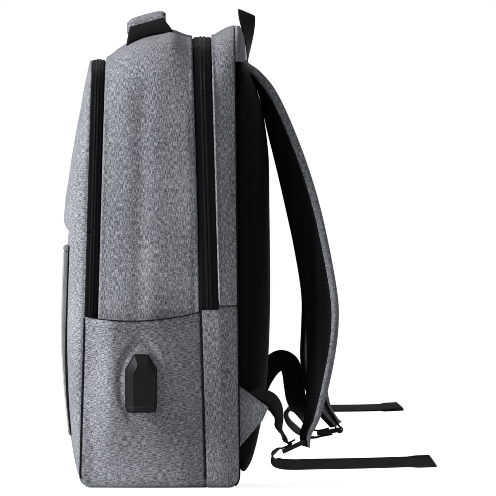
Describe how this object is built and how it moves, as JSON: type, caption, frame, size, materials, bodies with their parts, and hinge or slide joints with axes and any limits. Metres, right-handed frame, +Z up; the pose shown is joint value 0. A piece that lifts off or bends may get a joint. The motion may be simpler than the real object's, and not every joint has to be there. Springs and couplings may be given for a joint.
{
  "type": "solar backpack",
  "caption": "Grey heather laptop backpack with a solar panel on the lower front, a hooded USB outlet, two zips, side slip pockets, a padded back and webbing-adjusted straps",
  "frame": {"origin": "middle of the flat base panel, on the ground", "axes": "+Z up; +Y towards the wearer's back, the padded side with the straps; -Y the front with the solar panel; +X the side with the USB outlet"},
  "size_m": [0.333, 0.361, 0.4653],
  "materials": {
    "heather_cloth": "matte melange polyester",
    "air_mesh": "matte spacer mesh",
    "webbing": "ribbed black nylon webbing",
    "zip_tape": "woven tape with moulded coil",
    "slider_metal": "gunmetal lacquer",
    "black_plastic": "fine satin moulding",
    "socket_steel": "plain pressed steel",
    "silicon": "dark blue-black cells",
    "clear_laminate": "clear flexible laminate"
  },
  "bodies": {
    "pack": {"base_panel": "heather_cloth", "front_panel": "heather_cloth", "front_pocket_wall": "heather_cloth", "main_gusset": "heather_cloth", "side_wall_right": "heather_cloth", "side_wall_left": "heather_cloth", "rear_gusset": "heather_cloth", "rear_wall_right": "heather_cloth", "rear_wall_left": "heather_cloth", "side_pocket_right": "heather_cloth", "side_pocket_left": "heather_cloth", "back_board": "air_mesh", "back_pad": "air_mesh", "back_yoke": "heather_cloth", "laptop_sleeve": "air_mesh", "front_zip_lower_half": "zip_tape", "front_zip_body_half": "zip_tape", "main_zip_front_half": "zip_tape", "main_zip_rear_half": "zip_tape", "solar_backing": "black_plastic", "solar_cells": "silicon", "solar_cover": "clear_laminate", "solar_binding": "webbing", "solar_regulator": "black_plastic", "usb_flange": "black_plastic", "usb_hood": "black_plastic", "usb_shell": "socket_steel", "usb_tongue": "black_plastic", "carry_handle": "webbing", "handle_grip": "heather_cloth", "strap_tab_right": "heather_cloth", "strap_tab_left": "heather_cloth", "anchor_web_right": "webbing", "anchor_web_left": "webbing"},
    "front_flap": {"front_flap": "heather_cloth", "front_zip_flap_half": "zip_tape"},
    "front_slider": {"front_slider": "slider_metal"},
    "front_pull": {"front_pull": "slider_metal"},
    "main_slider_lower": {"main_slider_lower": "slider_metal"},
    "main_pull_lower": {"main_pull_lower": "slider_metal"},
    "main_slider_upper": {"main_slider_upper": "slider_metal"},
    "main_pull_upper": {"main_pull_upper": "slider_metal"},
    "hang_loop": {"hang_loop": "webbing"},
    "strap_right": {"strap_right": "heather_cloth", "lock_loop_right": "webbing"},
    "strap_left": {"strap_left": "heather_cloth", "lock_loop_left": "webbing"},
    "lock_right": {"lock_right": "black_plastic", "web_tail_right": "webbing"},
    "lock_left": {"lock_left": "black_plastic", "web_tail_left": "webbing"}
  },
  "joints": [
    {"name": "flap_fold", "type": "hinge", "parent": "pack", "child": "front_flap", "pos_m": [0, -0.09158, 0.247], "axis": [1, 0, 0], "range_deg": [0, 80], "stiffness_Nm_per_rad": 0.02},
    {"name": "front_slider_run", "type": "slide", "parent": "pack", "child": "front_slider", "axis": [0, 0.028, 0.9996], "range_m": [0, 0.13]},
    {"name": "front_pull_swing", "type": "hinge", "parent": "front_slider", "child": "front_pull", "pos_m": [-0.1432, -0.06773, 0.206], "axis": [0, 0.9996, -0.028], "range_deg": [0, 165]},
    {"name": "main_slider_lower_run", "type": "slide", "parent": "pack", "child": "main_slider_lower", "axis": [0, -0.029, 0.9996], "range_m": [-0.015, 0.01]},
    {"name": "main_pull_lower_swing", "type": "hinge", "parent": "main_slider_lower", "child": "main_pull_lower", "pos_m": [-0.1512, 0.0454, 0.2], "axis": [0, 0.9996, 0.029], "range_deg": [0, 165]},
    {"name": "main_slider_upper_run", "type": "slide", "parent": "pack", "child": "main_slider_upper", "axis": [0, -0.029, 0.9996], "range_m": [0, 0.11]},
    {"name": "main_pull_upper_swing", "type": "hinge", "parent": "main_slider_upper", "child": "main_pull_upper", "pos_m": [-0.1512, 0.04389, 0.252], "axis": [0, 0.9996, 0.029], "range_deg": [0, 165]},
    {"name": "hang_loop_fold", "type": "hinge", "parent": "pack", "child": "hang_loop", "pos_m": [0, 0.08217, 0.411], "axis": [-1, 0, 0], "range_deg": [0, 60], "stiffness_Nm_per_rad": 0.02},
    {"name": "strap_right_swing", "type": "hinge", "parent": "pack", "child": "strap_right", "pos_m": [0.05, 0.08107, 0.4076], "axis": [1, 0, 0], "range_deg": [0, 12], "deforming": ["anchor_web_right"]},
    {"name": "lock_right_tilt", "type": "hinge", "parent": "strap_right", "child": "lock_right", "pos_m": [0.112, 0.13681, 0.04389], "axis": [1, 0, 0], "range_deg": [0, 20], "deforming": ["anchor_web_right"]},
    {"name": "strap_left_swing", "type": "hinge", "parent": "pack", "child": "strap_left", "pos_m": [-0.05, 0.08107, 0.4076], "axis": [1, 0, 0], "range_deg": [0, 12], "deforming": ["anchor_web_left"]},
    {"name": "lock_left_tilt", "type": "hinge", "parent": "strap_left", "child": "lock_left", "pos_m": [-0.112, 0.17274, 0.05262], "axis": [1, 0, 0], "range_deg": [0, 20], "deforming": ["anchor_web_left"]}
  ]
}
